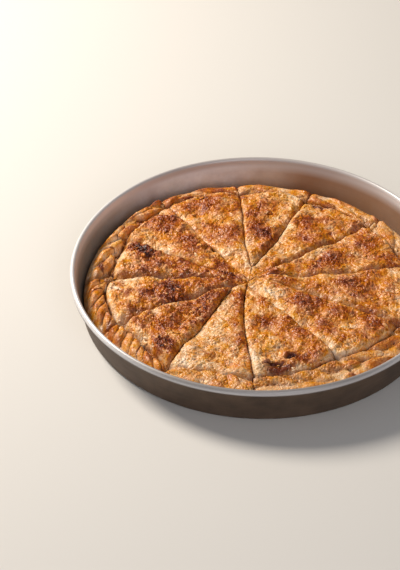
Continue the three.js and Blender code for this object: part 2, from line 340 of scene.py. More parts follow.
# What sets each wedge apart, in the order of the cuts.
# flanks: how the crust rounds down to its first and to its second cut: over what width and by how
#     much, how much browner or paler it is there, partly its own tone and partly painted light on lips
#     that catch the lamp, and how much painted shade lies on it where it faces away from the light.
# edge: the folded edge's width at the first cut, in the middle and at the second cut.
# tone: how brown the edge is. rough: how crumbly the crust is, from 0 to 1.
# groove: the level to which the crust goes down to meet the edge, over the width of `shoulder`.
# crease, line: how deep the crease between them is, and the fine line along it.
# folds: the pitch, length, width and turn of the strands that the edge is pinched into, how high
#     they stand, and how far apart their two rows are, as a share of the edge's width.
# browned, pale: spots, with their bearing and distance from the hub, length, width and strength.
# slits: torn holes, given in the same way, with a depth for their strength.
# leaves: single folds, with their bearing from the tray's centre, their place across the edge as a
#     share of its width, and their length, width, turn and height.
wedges = [
    {"flanks": ((8, 3.4, 0.05, 0.5), (5, 1.6, -0.15, 0)),
     "edge": (24, 24, 24), "tone": 0.2, "shoulder": 5, "crease": 1.5, "line": 1.6, "groove": 24.5,
     "folds": (22, 46, 12, 16, 4.0, 0.2), "rough": 0.6,
     "browned": [(20, 84, 24, 12, 0.8), (26, 52, 20, 10, 0.5), (15, 78, 18, 8, 0.6),
                 (34, 30, 20, 10, 0.35), (25, 133, 24, 16, 0.6), (15, 136, 20, 12, 0.5)],
     "pale": [(34, 80, 60, 8, 0.3), (29, 60, 16, 12, 0.35), (29, 96, 16, 8, 0.3)]},
    {"flanks": ((9, 4.0, 0.0, 0.6), (7, 2.2, -0.2, 0)),
     "edge": (24, 24, 22), "tone": 0.24, "shoulder": 5, "crease": 1.8, "line": 2.4, "groove": 25.5,
     "folds": (28, 56, 11, 9, 3.4, 0.2), "rough": 0.3,
     "browned": [(57, 112, 18, 12, 0.75), (53, 102, 20, 14, 0.75), (49, 90, 14, 12, 0.7),
                 (43, 102, 18, 12, 0.6), (49, 135, 20, 14, 0.4)],
     "pale": [(63, 98, 60, 12, 0.5), (52, 62, 40, 18, 0.15)],
     "slits": [(59, 146, 3, 12, 2.5)]},
    {"flanks": ((8, 3.4, 0.0, 0.4), (4, 1.6, -0.1, 0)),
     "edge": (23, 18, 19), "tone": 0.23, "shoulder": 5, "crease": 1.8, "line": 2.4, "groove": 25.5,
     "folds": (34, 70, 9, 4, 2.8, 0.2), "rough": 0.55,
     "browned": [(91, 137, 14, 12, 0.5), (87, 108, 24, 12, 0.7), (84, 90, 20, 15, 0.7),
                 (80, 75, 12, 20, 0.8), (73, 86, 14, 12, 0.4), (73, 54, 10, 8, 0.35)],
     "pale": [(77, 133, 26, 22, 0.2), (73, 117, 30, 16, 0.25), (94, 105, 50, 7, 0.25)]},
    {"flanks": ((4, 1.6, 0.0, 0.3), (12, 3.6, -0.04, 0)),
     "edge": (21, 15, 17), "tone": 0.36, "shoulder": 5, "crease": 1.2, "line": 2.0, "groove": 26,
     "folds": (22, 40, 7, 10, 2.6, 0.2), "rough": 0.4,
     "browned": [(115, 136, 12, 18, 0.65), (108, 130, 14, 16, 0.7), (100, 114, 16, 14, 0.35),
                 (102, 72, 14, 12, 0.6), (117, 70, 22, 16, 0.35), (114, 100, 16, 14, 0.25)],
     "pale": [(120, 120, 26, 10, 0.2), (120, 84, 20, 8, 0.1)],
     "slits": [(108, 144, 3, 7, 2.0), (124.5, 61, 8, 3.2, 5.0), (125, 113, 4, 3, 3.0)],
     "leaves": [(125, 0.66, 28, 10, -16, 5.5)]},
    {"flanks": ((5, 1.2, -0.1, 0), (10, 3.2, -0.07, 0)),
     "edge": (16, 20, 24), "tone": 0.27, "shoulder": 7, "crease": 2.4, "line": 1.2, "groove": 24,
     "folds": (20, 44, 9.5, 13, 5.4, 0.2), "rough": 0.7,
     "browned": [(133, 125, 18, 36, 0.65), (138, 112, 12, 24, 0.55), (134, 75, 16, 14, 0.7),
                 (143, 40, 14, 12, 0.85), (134, 98, 20, 12, 0.45), (147, 58, 14, 10, 0.3)],
     "pale": [(147, 128, 16, 14, 0.2), (149, 104, 14, 5, 0.2), (148, 68, 12, 8, 0.2)],
     "slits": [(124.5, 61, 8, 3.2, 5.0)]},
    {"flanks": ((5, 1.8, 0.2, 0.3), (13, 5.6, 0.0, 0.8)),
     "edge": (25, 27, 29), "tone": 0.16, "shoulder": 11, "crease": 2.8, "line": 1.5, "groove": 21.5,
     "folds": (17, 44, 10, 17, 6.0, 0.12), "rough": 0.95,
     "browned": [(156, 120, 20, 9, 0.85), (158, 106, 14, 9, 0.85), (163, 94, 30, 14, 0.6),
                 (167, 62, 30, 12, 0.5), (155, 24, 22, 12, 0.7), (170, 108, 26, 12, 0.35)],
     "pale": [(169, 80, 30, 9, 0.2), (174, 136, 18, 12, 0.25)],
     "leaves": [(153.6, 0.62, 24, 9, 63, 6.0)]},
    {"flanks": ((6, 1.5, -0.2, 0), (13, 6.0, 0.05, 0.7)),
     "edge": (24, 21, 24), "tone": 0.25, "shoulder": 11, "crease": 2.8, "line": 1.5, "groove": 21.5,
     "folds": (13.5, 42, 9, 27, 6.4, 0.06), "rough": 0.9,
     "browned": [(188, 84, 14, 11, 1.0), (193, 79, 10, 12, 1.0), (199, 84, 16, 12, 0.85),
                 (194, 105, 22, 16, 0.55), (201, 126, 14, 12, 0.5), (191, 51, 30, 10, 0.45),
                 (185, 24, 22, 8, 0.6)],
     "pale": [(189, 117, 26, 10, 0.3), (195, 67, 16, 12, 0.2), (180.5, 118, 14, 6, 0.6)],
     "leaves": [(180, 0.6, 26, 10, 66, 6.0)]},
    {"flanks": ((5, 1.3, -0.14, 0), (6, 2.6, 0.0, 0.3)),
     "edge": (26, 26, 16), "tone": 0.27, "shoulder": 11, "crease": 3.0, "line": 1.5, "groove": 21.5,
     "folds": (12.5, 40, 9.5, 31, 6.4, 0.0), "rough": 1.0,
     "browned": [(216, 86, 34, 14, 0.5), (222, 88, 44, 16, 0.5), (228, 84, 26, 12, 0.65),
                 (220, 49, 26, 14, 0.65), (213, 116, 16, 12, 0.3), (230.5, 134, 14, 18, 1.15)],
     "pale": [(229, 113, 14, 26, 0.5), (219, 130, 26, 14, 0.45)],
     "leaves": [(214, 0.7, 30, 13, 12, 6.5)]},
    {"flanks": ((14, 2.8, -0.1, 0), (5, 1.7, 0.05, 0.25)),
     "edge": (17, 28, 25), "tone": 0.18, "shoulder": 11, "crease": 0.6, "line": 0.8, "groove": 25,
     "folds": (14, 26, 13, 38, 4.2, 0.2), "rough": 0.5,
     "browned": [(254, 71, 14, 12, 0.5), (250, 87, 12, 10, 0.3), (261, 94, 10, 10, 0.4),
                 (254, 34, 14, 12, 0.5), (269.5, 100, 14, 6, 0.8), (269, 74, 12, 6, 0.6)],
     "pale": [(249, 106, 28, 22, 0.5), (255, 128, 26, 28, 0.45), (246, 70, 60, 9, 0.3),
              (252, 60, 30, 10, 0.2)],
     "leaves": [(248.5, 0.95, 22, 20, 62, 6.0)]},
    {"flanks": ((12, 2.6, -0.15, 0), (5, 1.5, 0.0, 0)),
     "edge": (30, 34, 40), "tone": 0.22, "shoulder": 9, "crease": 1.8, "line": 1.4, "groove": 24,
     "folds": (18, 50, 12, 13, 3.9, 0.22), "rough": 0.55,
     "browned": [(284, 65, 14, 12, 0.7), (292, 78, 18, 14, 0.4), (299, 72, 14, 22, 0.65),
                 (294, 36, 12, 10, 0.5), (300, 96, 10, 20, 0.6), (279.5, 127, 3, 15, 0.7),
                 (281.5, 136, 9, 20, 0.25), (295, 128, 8, 36, 0.5), (287.8, 120.5, 5, 8, 0.9),
                 (301, 126, 10, 30, 0.4), (288, 91, 14, 16, 0.4)],
     "pale": [(278, 112, 26, 14, 0.4), (275, 86, 60, 7, 0.4), (271.8, 128, 24, 8, 0.7)],
     "slits": [(288.5, 122.5, 6, 9, 4.5), (281, 135.5, 10, 22, 3.6), (279.5, 127.5, 3, 14, 3.0)],
     "leaves": [(284.8, 1.06, 32, 12, -16, 6.5)]},
    {"flanks": ((13, 3.2, -0.08, 0), (5, 1.3, -0.08, 0)),
     "edge": (39, 30, 26), "tone": 0.24, "shoulder": 9, "crease": 1.6, "line": 1.4, "groove": 24,
     "folds": (19, 50, 12, 14, 3.9, 0.22), "rough": 0.6,
     "browned": [(327, 66, 22, 14, 0.75), (328, 100, 20, 14, 0.75), (316, 103, 28, 12, 0.55),
                 (315, 126, 16, 14, 0.5), (334, 41, 16, 8, 0.4), (330, 136, 24, 16, 0.55)],
     "pale": [(312, 26, 20, 6, 0.4), (309, 60, 22, 9, 0.25), (307, 92, 40, 10, 0.3),
              (322, 120, 16, 12, 0.2)]},
    {"flanks": ((9, 3.0, 0.0, 0.5), (5, 1.3, -0.1, 0)),
     "edge": (26, 24, 24), "tone": 0.24, "shoulder": 6, "crease": 1.5, "groove": 22.5,
     "folds": (20, 44, 12, 16, 4.4, 0.2), "rough": 0.6,
     "browned": [(349, 71, 20, 8, 0.4), (356, 40, 18, 8, 0.35), (355, 105, 26, 14, 0.6),
                 (352, 136, 16, 18, 0.45), (3, 120, 14, 10, 0.4), (346, 95, 22, 9, 0.4)],
     "pale": [(342, 60, 60, 8, 0.25), (2, 66, 20, 10, 0.15)]},
]


def outlineRadius(degrees):
    # how far the pie's outline is from the tray's centre
    shrink, oval = pie["shrink"], pie["oval"]
    return (pie["meanRadius"] - shrink[0] * np.cos(radians(degrees - shrink[1]))
            + oval[0] * np.cos(radians(2 * (degrees - oval[1]))))


def edgeWidth(turn, index):
    # a smooth curve through the widths at a wedge's first cut, middle and second cut
    first, middle, second = wedges[index]["edge"]
    t = np.clip(turn, 0, 1)
    return first * (1 - t) * (1 - 2 * t) + middle * 4 * t * (1 - t) + second * t * (2 * t - 1)


def rollTop(degrees):
    # the level of the folded edge's top
    raised, towards = edge["raised"]
    return edge["rollTop"] + raised * smooth((np.cos(radians(degrees - towards)) + 0.2) / 0.8)


def outlineHit(start, degrees):
    # where a straight line from a start point reaches the outline
    near, far = 0.0, 2.0 * pie["meanRadius"]
    for _ in range(40):
        middle = (near + far) / 2
        p = start + middle * heading(degrees)
        if np.hypot(*p) < outlineRadius(bearing(p)):
            near = middle
        else:
            far = middle
    return start + near * heading(degrees)


def cutSide(index, side, fromJoin):
    # one side of a wedge: what gives points at shares of the way back from the outline to the hub,
    # what gives how far the cut has closed up there, and how long the way is
    cut = cuts[index]
    end = outlineHit(hub, cut["to"])
    degrees, away = joins[cut["join"]]
    start = hub + away * heading(degrees)
    legs = [hub, start, end] if away and not fromJoin else [start, end]
    lengths = [np.hypot(*(b - a)) for a, b in zip(legs, legs[1:])]
    total, last = sum(lengths), lengths[-1]
    across = np.array([-(end - start)[1], (end - start)[0]]) / last
    closedFrom, closedTo = cut.get("closed", (-9, -9))
    stray, strayLength = pie["wander"]
    tear, tearLength = pie["ragged"]

    def at(share):
        back = np.asarray(share, dtype=float) * total
        own = back * 0 + 9.0 * index  # each cut reads the noise along a line of its own
        onLast = back <= last
        way = np.where(onLast, 1 - back / last, 1 - (back - last) / lengths[0])[..., None]
        p = np.where(onLast[..., None], mixed(legs[-2], legs[-1], way), mixed(legs[0], legs[1], way))
        bend = cut["bow"] * np.sin(np.pi * way[..., 0]) + cut["sway"] * np.sin(2 * np.pi * way[..., 0])
        fromEnds = smooth(back / 12) * smooth((last - back) / 40)
        wander = stray * fractal(back, own, strayLength, 3, 90 + index) * fromEnds
        wear = tear * fractal(back, own, tearLength, 3, 60 + index + 20 * side)
        gap = pie["gap"] + np.abs(wear) * smooth(back / 8) * smooth((last - back) / 30)
        gap = gap * (0.3 + 0.9 * smooth(0.5 + 1.4 * noise(back, own, 8, 30)))
        gap = gap + pie["tornHub"] * (1 - smooth((total - back - 4) / 6))
        inset = side * gap * mixed(1, pie["closedGap"], shut(share))
        return p + across * (np.where(onLast, bend, 0) + wander + inset)[..., None]

    def shut(share):
        fromHub = last + away - np.asarray(share, dtype=float) * total
        return smooth((fromHub - closedFrom + 3) / 4) * smooth((closedTo + 6 - fromHub) / 8)

    return at, shut, total


def crustBase(x, y):
    # the level of the smooth crust
    fromHub = np.hypot(x - hub[0], y - hub[1])
    height = pie["crustTop"] - pie["hubDip"] * (1 - smooth(fromHub / pie["hubRadius"]))
    for rise, length, towards, start in waves:
        way = x * np.cos(radians(towards)) + y * np.sin(radians(towards))
        height = height + rise * np.sin(2 * np.pi * way / length + start)
    return height


def spots(x, y, places, seed, sway=5):
    # how strongly a point lies in any of the uneven spots, from 0 to about 1
    rx = x - hub[0] + sway * fractal(x, y, 14, 3, seed)
    ry = y - hub[1] + sway * fractal(x, y, 14, 3, seed + 4)
    total = np.zeros(x.shape)
    for degrees, away, length, width, strength in places:
        out = heading(degrees)
        alongSpot = (rx * out[0] + ry * out[1] - away) / (0.85 * length)
        acrossSpot = (-rx * out[1] + ry * out[0]) / (0.88 * width)
        total = np.maximum(total, strength * np.exp(-(alongSpot ** 2 + acrossSpot ** 2) ** 1.1))
    return total


def blisters(x, y, size, seed):
    # rounded bubbles with sharp creases between them
    return np.abs(noise(x, y, size, seed)) - 0.3


def layered(pattern, x, y, kinds):
    # noise or blisters of several sizes, each given by its height, width and seed
    return sum(height * pattern(x, y, size, seed) for height, size, seed in kinds)


def tornLayer(x, y, size, levels, seed):
    # the torn edges of thin leaves: height in steps from leaf to leaf, and how near the lip of a
    # leaf and the foot of the one above a point is
    level = levels * noise(x, y, size, seed) + 0.35 * noise(x, y, size / 5, seed + 1)
    level = level + 0.15 * noise(x, y, size / 11, seed + 2)
    whole = np.floor(level)
    part = level - whole
    height = whole + smooth(part / 0.16)
    return height, np.exp(-((part - 0.22) / 0.10) ** 2), smooth((part - 0.72) / 0.28)


def flakes(x, y, size, degrees, seed):
    # long flakes that lie tilted beside and over each other: height, shade, raised lip and tucked side
    ax, ay = heading(degrees)
    near, second, wayX, wayY, first, other = cells((x * ax + y * ay) / 2, y * ax - x * ay, size, seed)
    turn = 2 * np.pi * first
    slant = wayX * np.cos(turn) + wayY * np.sin(turn)
    border = 1 - smooth((second - near) / 0.2)
    lip = border * np.clip(2.5 * slant, 0, 1)
    tucked = border * np.clip(-2.5 * slant, 0, 1)
    return slant + 0.8 * (other - 0.5), other - 0.5, lip, tucked


def wrinkles(x, y, size, seed):
    # thin curved ridges in the top leaf, from 0 to 1
    wx = x + 0.6 * size * noise(x, y, 2.1 * size, seed)
    wy = y + 0.6 * size * noise(x, y, 2.1 * size, seed + 1)
    return (1 - np.clip(np.abs(noise(wx, wy, size, seed + 2)), 0, 1)) ** 6


crust = {
    # Blisters of several sizes: how high they stand, how wide they are, and their seed.
    "domes": [(2.3, 15, 39), (1.0, 8.5, 40)],
    "bubbles": [(1.5, 7.5, 33), (1.2, 4.1, 34)],
    "crumbs": [(1.7, 2.4, 35)],
    # Height and width of all else, and the direction of the flakes.
    "swells": (2.2, 27),
    "leaves": (0.8, 17),
    "bigFlakes": (1.5, 6.5, 30),
    "smallFlakes": (1.1, 3.4, 120),
    "ridges": (0.8, 11),
    "toasted": (0.2, 3.1),
    "blobs": (0.8, 2.4, 6.5),  # height in plain places, how much more in browned ones, and width
    # How much higher browned and pale spots stand, and how much smoother it is beside a cut.
    "browned": 2.4,
    "pale": -0.8,
    "calm": 0.55,
    "warp": (1.6, 7),  # how far the patterns are bent, and over what length
}

# How brown the crust is, where 0 is raw and 1 is burnt: all of it, and how much browner or paler
# each kind of unevenness makes it.
bake = {
    "whole": 0.43,
    "patches": 0.28,
    "browned": 0.40,
    "pale": -0.24,
    "swell": 0.04,
    "bubbles": 0.13,
    "crumbs": 0.10,
    "toasted": 0.10,
    "mottled": 0.15,
    "bigFlakes": 0.16,
    "smallFlakes": 0.20,
    "band": -0.2,  # in the hollow beside the edge
    # Lips and ridges are paler partly because thin leaf edges brown less and partly as a painted
    # highlight where they catch the light.
    "lips": -0.12,
    "ridges": -0.10,
}


def crustSurface(x, y, wedge, shade, calm, band):
    # height above the smooth crust, how brown it is, how much painted shade lies in its hollows, and how
    # flaky
    brownSpot = spots(x, y, wedge["browned"], 11)
    paleSpot = spots(x, y, wedge["pale"], 16)
    warp, warpLength = crust["warp"]
    wx = x + warp * noise(x, y, warpLength, 23)
    wy = y + warp * noise(x, y, warpLength, 24)
    patchy = fractal(x, y, 30, 3, 21)
    mottled = fractal(x, y, 9, 2, 96)
    uneven = 0.5 + 1.5 * fractal(x, y, 15, 2, 26) + 0.9 * brownSpot - 0.3 * paleSpot
    crumbly = wedge["rough"] * np.clip(uneven, 0.15, 1.6)
    flaked = np.clip(0.3 + 1.6 * fractal(x, y, 14, 2, 50), 0.1, 1) * (0.4 + 0.6 * wedge["rough"])

    swellHeight, swellSize = crust["swells"]
    swell = swellHeight * fractal(x, y, swellSize, 2, 37) + layered(blisters, x, y, crust["domes"])
    plainBlobs, brownBlobs, blobSize = crust["blobs"]
    near = cells(wx, wy, blobSize, 47)[0]
    blobs = np.sqrt(1 - np.clip(near, 0, 1) ** 2) - 0.6
    bubbles = layered(blisters, wx, wy, crust["bubbles"]) + blobs * (plainBlobs + brownBlobs * brownSpot)
    crumbs = layered(blisters, wx, wy, crust["crumbs"]) + 0.3 * noise(x, y, 1.2, 36)
    crumbs = crumbs * np.clip(brownSpot + 0.2, 0, 1)

    leafHeight, leafSize = crust["leaves"]
    leaf, leafLip, leafFoot = tornLayer(wx, wy, leafSize, 3.0, 31)
    bigHeight, bigSize, bigWay = crust["bigFlakes"]
    bigRise, bigShade, bigLip, bigTucked = flakes(wx, wy, bigSize, bigWay, 61)
    smallHeight, smallSize, smallWay = crust["smallFlakes"]
    smallRise, smallShade, smallLip, smallTucked = flakes(wx, wy, smallSize, smallWay, 66)
    ridgeHeight, ridgeSize = crust["ridges"]
    ridges = np.maximum(wrinkles(x, y, ridgeSize, 84), 0.7 * wrinkles(x, y, 6, 88))
    toastHeight, toastSize = crust["toasted"]
    toasted = blisters(x, y, toastSize, 92) + 0.6 * noise(x, y, 1.7, 93)

    lips = np.maximum(leafLip, flaked * np.maximum(bigLip, smallLip))
    feet = np.maximum(leafFoot, flaked * np.maximum(bigTucked, smallTucked))
    tilted = bigHeight * bigRise + smallHeight * smallRise
    detail = crumbly * (bubbles + crumbs) + flaked * tilted + ridgeHeight * ridges
    height = (swell + (1 - crust["calm"] * calm) * (detail + toastHeight * toasted)
              + leafHeight * leaf + crust["browned"] * brownSpot + crust["pale"] * paleSpot)
    seen = {"patches": patchy, "browned": brownSpot, "pale": paleSpot, "swell": swell,
            "bubbles": np.clip(bubbles, -1, 2) * crumbly, "crumbs": crumbs * crumbly,
            "toasted": toasted, "mottled": mottled, "bigFlakes": flaked * bigShade,
            "smallFlakes": flaked * smallShade, "band": band, "lips": lips, "ridges": ridges}
    brown = bake["whole"] + shade + sum(bake[kind] * amount for kind, amount in seen.items())
    # painted shade, darker in the low parts of the detail, at the foot of each leaf and on the tucked
    # side of each flake
    paintedShade = np.clip(-0.4 * detail - 0.15 + 0.75 * feet, 0, 1)
    flaky = np.clip(1.1 * crumbly - 0.35 - 0.6 * calm, 0, 1)
    return height, brown, paintedShade, flaky


def strands(s, over, reach, folds, extra, seed):
    # the strands that the edge is pinched into, lapped like tiles: how high they stand, how near a
    # point is to the crease between two of them, and each one's own shade and grain
    pitch, long, wide, turn, height, apart = folds
    oddPlace, oddReach, oddLength, oddWidth, oddTurn, oddHeight = edge["uneven"]
    places = []
    for k in range(int(s.min() // pitch) - 1, int(s.max() // pitch) + 3):
        odd = [float(chance(np.array(k), np.array(j), seed)) - 0.5 for j in range(6)]
        row = edge["middleRow"] + (apart if k % 2 else -apart)
        places.append((pitch * (k + oddPlace * odd[0]), reach * (row + oddReach * odd[1]),
                       long * (1 + oddLength * odd[2]), wide * (1 + oddWidth * odd[3]),
                       turn * (1 + oddTurn * odd[4]), height * (1 + oddHeight * odd[5])))
    best = np.zeros(s.shape)
    second = np.full(s.shape, -9.0)
    shade = np.zeros(s.shape)
    grain = 0.7 * noise(s / 6, over, 1.8, seed + 2)
    for k, (s0, over0, length, width, degrees, top) in enumerate(places + extra):
        ds, do = s - s0, over - over0
        a = -ds * np.cos(radians(degrees)) + do * np.sin(radians(degrees))  # along the strand
        c = ds * np.sin(radians(degrees)) + do * np.cos(radians(degrees))  # and across it
        c = c + 0.05 * a ** 2 / width
        fill = 1 - np.abs(2 * a / length) ** 1.8 - (2 * c / width) ** 2
        swell = np.sqrt(np.clip(fill, 0, 1)) - 1.3 * np.sqrt(np.clip(-fill, 0, 9))
        rise = top * (swell + 0.5 * np.clip(c / width, -0.5, 0.5)) - 0.3
        onTop = rise > best
        second = np.where(onTop, best, np.maximum(second, rise))
        shade = np.where(onTop, float(chance(np.array(k), np.array(9), seed)) - 0.5, shade)
        grain = np.where(onTop, noise(a / 8, c, 1.6, seed + 3), grain)
        best = np.where(onTop, rise, best)
    return best, np.clip(1 - (best - second) / 1.4, 0, 1), shade, grain


def rollSurface(inward, width, top, s, start, index):
    # the folded edge, whose strands end a little beyond the groove
    wedge = wedges[index]
    folds = wedge["folds"]
    rise = folds[4]
    share = np.clip(inward / width, 0, 1)
    past = np.clip(inward - width, 0, None)
    reach = edge["overGroove"] * width.mean()
    over = reach * np.arccos(1 - 2 * share) / np.pi + past  # the way over it
    bentS = s + layered(noise, s, over, edge["bentAlong"])
    bentOver = over + layered(noise, s, over, edge["bentOver"])
    extra = [(radians(degrees - start) * pie["meanRadius"], reach * across, *rest)
             for degrees, across, *rest in wedge.get("leaves", [])]
    ridge, crease, shade, grain = strands(bentS, bentOver, reach, folds, extra,
                                           edge["firstSeed"] + index)
    lumps = layered(noise, s, over, edge["lumps"]) + layered(blisters, s, over, edge["blisters"])
    lumps = lumps * min(1, rise / edge["lumpyFrom"])
    outer = share < 0.5
    outerFade = 0.25 + 0.75 * smooth((share - 0.12) / 0.3)
    fade = np.where(outer, outerFade, 1 - smooth((past - 4) / 12))
    foot = np.where(outer, edge["sideZ"], wedge["groove"])
    innerArch = np.clip(np.cos(np.pi * (share - 0.5)), 0, 1) ** 0.7
    arch = np.where(outer, rounded(share / 0.5), innerArch)
    z = foot + (top - 1.0 - foot) * arch + (ridge - 0.2 * rise + lumps + 0.3 * grain) * fade
    more = edge["browner"]
    patchy = fractal(s, over, edge["patchSize"], 3, 60)
    brown = (wedge["tone"] + more["ridges"] * np.clip(ridge / rise, 0, 1) + more["strands"] * shade
             + more["grain"] * grain + more["patches"] * patchy + more["lumps"] * lumps)
    # painted shade in the creases between the strands
    paintedShade = np.clip(1.4 * crease ** 1.2, 0, 1) * fade * smooth((rise - 2.5) / 4)
    return z, brown, paintedShade


def besideCuts(x, y, toCuts, span, past, wedge):
    # what the crust does towards its two cuts: how far down its flank and how deep that is, how much
    # smoother it is, how much browner or paler, partly its own tone and partly painted light, how far
    # its corner is rounded, how much painted shade lies along the cut and on a flank that faces away
    # from the light, and the corner's pit
    ramp = 0.25 + 0.75 * smooth(span / pie["fullDropSpan"])
    wide = smooth(span / 12)  # nothing of this shows at a wedge's point
    steep, drop, calm, shade, lip, cutShade, pit = 0, 0, 0, 0, 0, 0, 0
    for toCut, (flankWidth, flankDrop, tintAndLight, flankShade) in zip(toCuts, wedge["flanks"]):
        uneven = np.minimum(flankWidth * (1 + 0.4 * noise(x, y, 14, 71)), 0.1 + 0.48 * span)
        down = (1 - np.clip(toCut / uneven, 0, 1)) * ramp
        steep = np.maximum(steep, down)
        drop = np.maximum(drop, down * flankDrop)
        calm = np.maximum(calm, np.exp(-(toCut / 4) ** 2) * wide)
        # the flank's tint is partly its own tone and partly painted light on a lip that catches the lamp
        shade = shade + tintAndLight * np.exp(-(toCut / (0.6 * flankWidth)) ** 2) * wide
        lip = lip + pie["lip"] * (1 - rounded(toCut / 1.6)) * wide
        # painted shade: a thin dark line along the cut, broken in places, and on a flank that faces away
        # from the light
        parted = 0.35 + 0.65 * smooth(0.5 + 1.6 * noise(x, y, 17, 76))
        cutShade = np.maximum(cutShade, np.exp(-(toCut / 0.6) ** 2) * smooth(span / 2.5) * parted)
        cutShade = np.maximum(cutShade, flankShade * smooth((down - 0.12) / 0.45))
        pit = np.maximum(pit, np.exp(-(toCut / 4.5) ** 2 - ((past - 1) / 4.5) ** 2))
    return steep, drop, calm, shade, lip, cutShade, pit


def wedgeTop(x, y, s, toCuts, span, turn, start, index):
    # the height of a wedge's top, how brown it is, how much painted shade lies on it, and how flaky
    wedge = wedges[index]
    degrees = bearing(np.stack([x, y], axis=-1))
    inward = outlineRadius(degrees) - np.hypot(x, y)
    widthStray, widthLength = edge["unevenWidth"]
    width = edgeWidth(turn, index) + widthStray * noise(x, y, widthLength, 72)
    past = inward - width
    shoulderStray, shoulderLength = edge["unevenShoulder"]
    shoulder = wedge["shoulder"] * (1 + shoulderStray * noise(x, y, shoulderLength, 73))
    toGroove = 1 - np.clip(past / shoulder, 0, 1)
    steep, drop, calm, shade, lip, cutShade, pit = besideCuts(x, y, toCuts, span, past, wedge)
    # a crust's corner between a cut and the groove is rounded both ways, as on a cushion
    level = np.minimum(np.hypot(steep, toGroove), 1) ** 1.8
    base = crustBase(x, y)
    depth = (drop * steep + (base - wedge["groove"]) * toGroove) / np.maximum(steep + toGroove, 0.001)
    # the pattern is shifted outwards by as much as the shoulder goes down, so it isn't drawn out
    outwards = 1 + depth * toGroove ** 1.8 / np.hypot(x, y)
    band = np.exp(-((past - 0.3 * shoulder) / (0.5 * shoulder)) ** 2) * smooth((shoulder - 4) / 6)
    bumps, crustBrown, crustPaintedShade, flaky = crustSurface(x * outwards, y * outwards, wedge, shade,
                                                         calm, band)
    crustZ = base - depth * level - lip + bumps * (1 - 0.3 * level)
    rollZ, rollBrown, rollPaintedShade = rollSurface(inward, width, rollTop(degrees), s, start, index)
    ended = pie["rollEnd"] * (1 - rounded(np.minimum(*toCuts) / 7))
    rollZ = rollZ - (0.3 * drop * level + ended) * np.sin(np.pi * np.clip(inward / width, 0, 1))
    # whichever stands higher is seen, with a crease, darkened with painted shade, where the crust dips
    # under the strands
    above = rollZ - crustZ
    onEdge = inward < 0.6 * width
    blend = np.where(onEdge, 0, 1 - smooth(above / 1.2 + 0.5) * (1 - smooth((past - 4) / 3)))
    meeting = np.where(onEdge, 0, np.exp(-(above / 1.6) ** 2)) * (1 - smooth((past - 3) / 4))
    crease = wedge["crease"] * meeting * (0.7 + 0.7 * noise(s, s * 0, 11, 75))
    line = wedge.get("line", 0) * np.exp(-((past - 0.5) / 1.3) ** 2)
    z = mixed(rollZ, crustZ, blend) - crease - line - pie["pit"] * pit
    brown = mixed(rollBrown, crustBrown, blend)
    # painted shade in the crease and its fine line, along the cuts and in the pits
    creaseShade = 0.4 * np.clip(crease + line, 0, 2.5)
    paintedShade = np.maximum(mixed(rollPaintedShade, crustPaintedShade, blend), creaseShade)
    paintedShade = np.maximum(paintedShade, np.maximum(0.8 * cutShade, 0.9 * pit ** 1.5))
    # torn slits, sunk and darkened with painted shade
    for *place, deep in wedge.get("slits", []):
        slit = smooth(spots(x, y, [(*place, 1.6)], 18, sway=2.5) - 0.35)
        z = z - deep * slit
        paintedShade = np.maximum(paintedShade, slit)
    return z, brown, paintedShade, flaky * blend


def layTop(index):
    # the points of a wedge's top as seen from above, in rows from its tip out to the outline, and
    # where each one is: how far it is from the outline, around the edge and from both cuts
    nextIndex = (index + 1) % len(cuts)
    fromJoin = cuts[index]["join"] == cuts[nextIndex]["join"]
    firstAt, firstShut, firstTotal = cutSide(index, 1, fromJoin)
    secondAt, secondShut, secondTotal = cutSide(nextIndex, -1, fromJoin)
    length = (firstTotal + secondTotal) / 2
    ends = firstAt(0.0), secondAt(0.0)

    def spanAt(back):
        return np.hypot(*(firstAt(back / length) - secondAt(back / length)).T)

    tip = length
    while spanAt(np.array(tip)) < pie["narrowestTip"] or tip > length - 1:
        tip -= 0.1

    step = pie["spacing"]
    width = edgeWidth(0.5, index)
    crustBacks = np.linspace(tip, width / 2, int((tip - width / 2) / step))
    around = np.linspace(np.pi / 2, 0, int(0.8 * width / step) + 1)[1:]
    rollBacks = width / 2 * (1 - np.cos(around))  # closer together where the edge turns down
    backs = np.concatenate([crustBacks, rollBacks])
    spans = spanAt(backs)
    counts = np.maximum(2, np.ceil(spans / step).astype(int) + 1)
    counts[0] = 2
    u = np.concatenate([np.linspace(0, 1, n) for n in counts])
    back = np.repeat(backs, counts)
    span = np.repeat(spans, counts)
    straight = mixed(firstAt(back / length), secondAt(back / length), u[:, None])
    chord = mixed(ends[0], ends[1], u[:, None])
    bulge = outlineRadius(bearing(chord))[:, None] * heading(bearing(chord)) - chord
    plane = straight + bulge * (1 - back / tip)[:, None]
    start, stop = bearing(ends[0]), bearing(ends[1])
    turned = (bearing(plane) - start + 180) % 360 - 180
    turn = turned / ((stop - start) % 360)
    s = radians(turned) * pie["meanRadius"]
    lift = pie["closedLift"]
    toCuts = (u * span + lift * firstShut(back / length),
              (1 - u) * span + lift * secondShut(back / length))
    starts = np.concatenate([[0], np.cumsum(counts)[:-1]])
    rows = [list(range(a, a + n)) for a, n in zip(starts, counts)]
    return plane, rows, backs, back, s, (toCuts, span, turn, start, index)


def quilt(rows):
    # triangles between all rows of points, one after the other
    return [triangle for a, b in zip(rows, rows[1:]) for triangle in strip(a, b)]


